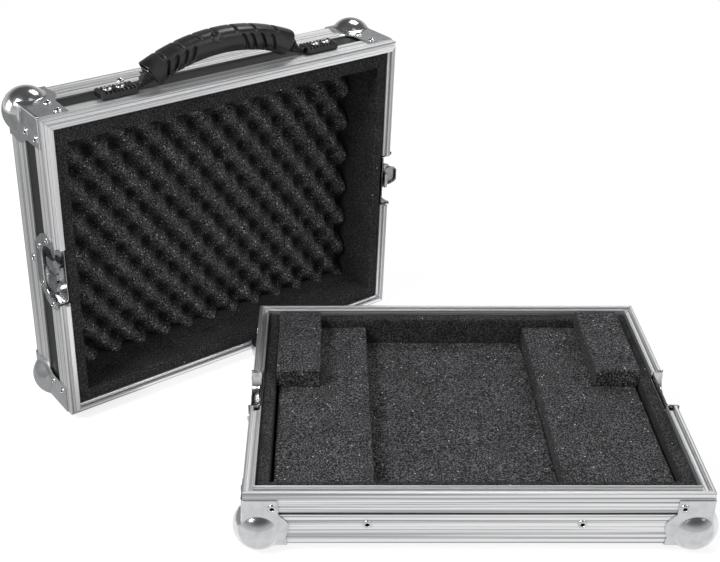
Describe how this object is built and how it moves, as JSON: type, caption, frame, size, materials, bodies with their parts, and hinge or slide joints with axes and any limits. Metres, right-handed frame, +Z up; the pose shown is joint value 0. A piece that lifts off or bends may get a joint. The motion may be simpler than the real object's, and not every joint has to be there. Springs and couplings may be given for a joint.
{
  "type": "effects unit flight case",
  "caption": "Shallow flight case, opened: a foam-lined tray base and a lift-off lid with butterfly latches, ball corners, a bowed handle and a convoluted foam pad.",
  "frame": {"origin": "bottom centre of the bounding box of the open case, on the ground", "axes": "+Z up; +X along the base's long side, towards its right end; +Y away from the base's front, towards the standing lid"},
  "size_m": [0.6451, 0.5078, 0.3717],
  "materials": {
    "black_laminated_board": "black laminated plywood, satin",
    "anodised_aluminium": "satin anodised extrusion with fine drawn lines",
    "bright_plated_steel": "bright zinc or nickel plated pressed steel",
    "black_foam": "open-cell polyurethane foam, black",
    "black_rubber": "black moulded rubber, satin"
  },
  "bodies": {
    "base": {"base_block_left": "black_foam", "base_block_right": "black_foam", "base_corner_back_left": "bright_plated_steel", "base_corner_back_right": "bright_plated_steel", "base_corner_front_left": "bright_plated_steel", "base_corner_front_right": "bright_plated_steel", "base_edge_back": "anodised_aluminium", "base_edge_front": "anodised_aluminium", "base_edge_left": "anodised_aluminium", "base_edge_right": "anodised_aluminium", "base_floor_foam": "black_foam", "base_floor_panel": "black_laminated_board", "base_lining": "black_foam", "base_platform_left": "black_foam", "base_platform_right": "black_foam", "base_rim_back": "anodised_aluminium", "base_rim_front": "anodised_aluminium", "base_rim_left": "anodised_aluminium", "base_rim_right": "anodised_aluminium", "base_wall_back": "black_laminated_board", "base_wall_front": "black_laminated_board", "base_wall_left": "black_laminated_board", "base_wall_right": "black_laminated_board", "keeper_left": "bright_plated_steel", "keeper_right": "bright_plated_steel"},
    "lid": {"handle_mount_left": "black_rubber", "handle_mount_right": "black_rubber", "latch_left_dish": "bright_plated_steel", "latch_right_dish": "bright_plated_steel", "lid_corner_back_left": "bright_plated_steel", "lid_corner_back_right": "bright_plated_steel", "lid_corner_front_left": "bright_plated_steel", "lid_corner_front_right": "bright_plated_steel", "lid_edge_back": "anodised_aluminium", "lid_edge_front": "anodised_aluminium", "lid_edge_left": "anodised_aluminium", "lid_edge_right": "anodised_aluminium", "lid_egg_pad": "black_foam", "lid_foot_left": "black_rubber", "lid_foot_right": "black_rubber", "lid_lining": "black_foam", "lid_panel": "black_laminated_board", "lid_rim_back": "anodised_aluminium", "lid_rim_front": "anodised_aluminium", "lid_rim_left": "anodised_aluminium", "lid_rim_right": "anodised_aluminium", "lid_wall_back": "black_laminated_board", "lid_wall_front": "black_laminated_board", "lid_wall_left": "black_laminated_board", "lid_wall_right": "black_laminated_board"},
    "handle": {"handle_grip": "black_rubber", "handle_strap": "black_rubber"},
    "cam_left": {"latch_left_cam": "bright_plated_steel"},
    "hook_left": {"latch_left_hook": "bright_plated_steel"},
    "front_wing_left": {"latch_left_wing_front": "bright_plated_steel"},
    "rear_wing_left": {"latch_left_wing_rear": "bright_plated_steel"},
    "cam_right": {"latch_right_cam": "bright_plated_steel"},
    "hook_right": {"latch_right_hook": "bright_plated_steel"},
    "front_wing_right": {"latch_right_wing_front": "bright_plated_steel"},
    "rear_wing_right": {"latch_right_wing_rear": "bright_plated_steel"}
  },
  "joints": [
    {"name": "lid_lift", "type": "slide", "parent": "base", "child": "lid", "axis": [0, 0, 1], "range_m": [0, 0.4]},
    {"name": "handle_swing", "type": "hinge", "parent": "lid", "child": "handle", "pos_m": [-0.11753, 0.0783, 0.33115], "axis": [-0.8076, -0.5898, 0], "range_deg": [-26, 26], "stiffness_Nm_per_rad": 1},
    {"name": "cam_left_turn", "type": "hinge", "parent": "lid", "child": "cam_left", "pos_m": [-0.27393, -0.04225, 0.16764], "axis": [0.8076, 0.5898, 0], "range_deg": [0, 180]},
    {"name": "hook_left_slide", "type": "slide", "parent": "lid", "child": "hook_left", "axis": [0.5893, -0.807, -0.0379], "range_m": [0, 0.0121]},
    {"name": "front_wing_left_fold", "type": "hinge", "parent": "cam_left", "child": "front_wing_left", "pos_m": [-0.27518, -0.04324, 0.16914], "axis": [0.5893, -0.807, -0.0379], "range_deg": [-8, 82]},
    {"name": "rear_wing_left_fold", "type": "hinge", "parent": "cam_left", "child": "rear_wing_left", "pos_m": [-0.27525, -0.04315, 0.16614], "axis": [0.5893, -0.807, -0.0379], "range_deg": [-82, 8]},
    {"name": "cam_right_turn", "type": "hinge", "parent": "lid", "child": "cam_right", "pos_m": [0.04491, 0.19059, 0.16764], "axis": [-0.8076, -0.5898, 0], "range_deg": [-90, 90]},
    {"name": "hook_right_slide", "type": "slide", "parent": "lid", "child": "hook_right", "axis": [0.5893, -0.807, -0.0379], "range_m": [-0.00605, 0.00605]},
    {"name": "front_wing_right_fold", "type": "hinge", "parent": "cam_right", "child": "front_wing_right", "pos_m": [0.04708, 0.19032, 0.16758], "axis": [0.0223, -0.0306, 0.9993], "range_deg": [-84, 6]},
    {"name": "rear_wing_right_fold", "type": "hinge", "parent": "cam_right", "child": "rear_wing_right", "pos_m": [0.04531, 0.19274, 0.16769], "axis": [0.0223, -0.0306, 0.9993], "range_deg": [-22, 68]}
  ],
  "couplings": [
    {"joint": "hook_left_slide", "follows": "cam_left_turn", "m_per_rad": 0.0038197},
    {"joint": "hook_right_slide", "follows": "cam_right_turn", "m_per_rad": 0.0038197}
  ]
}
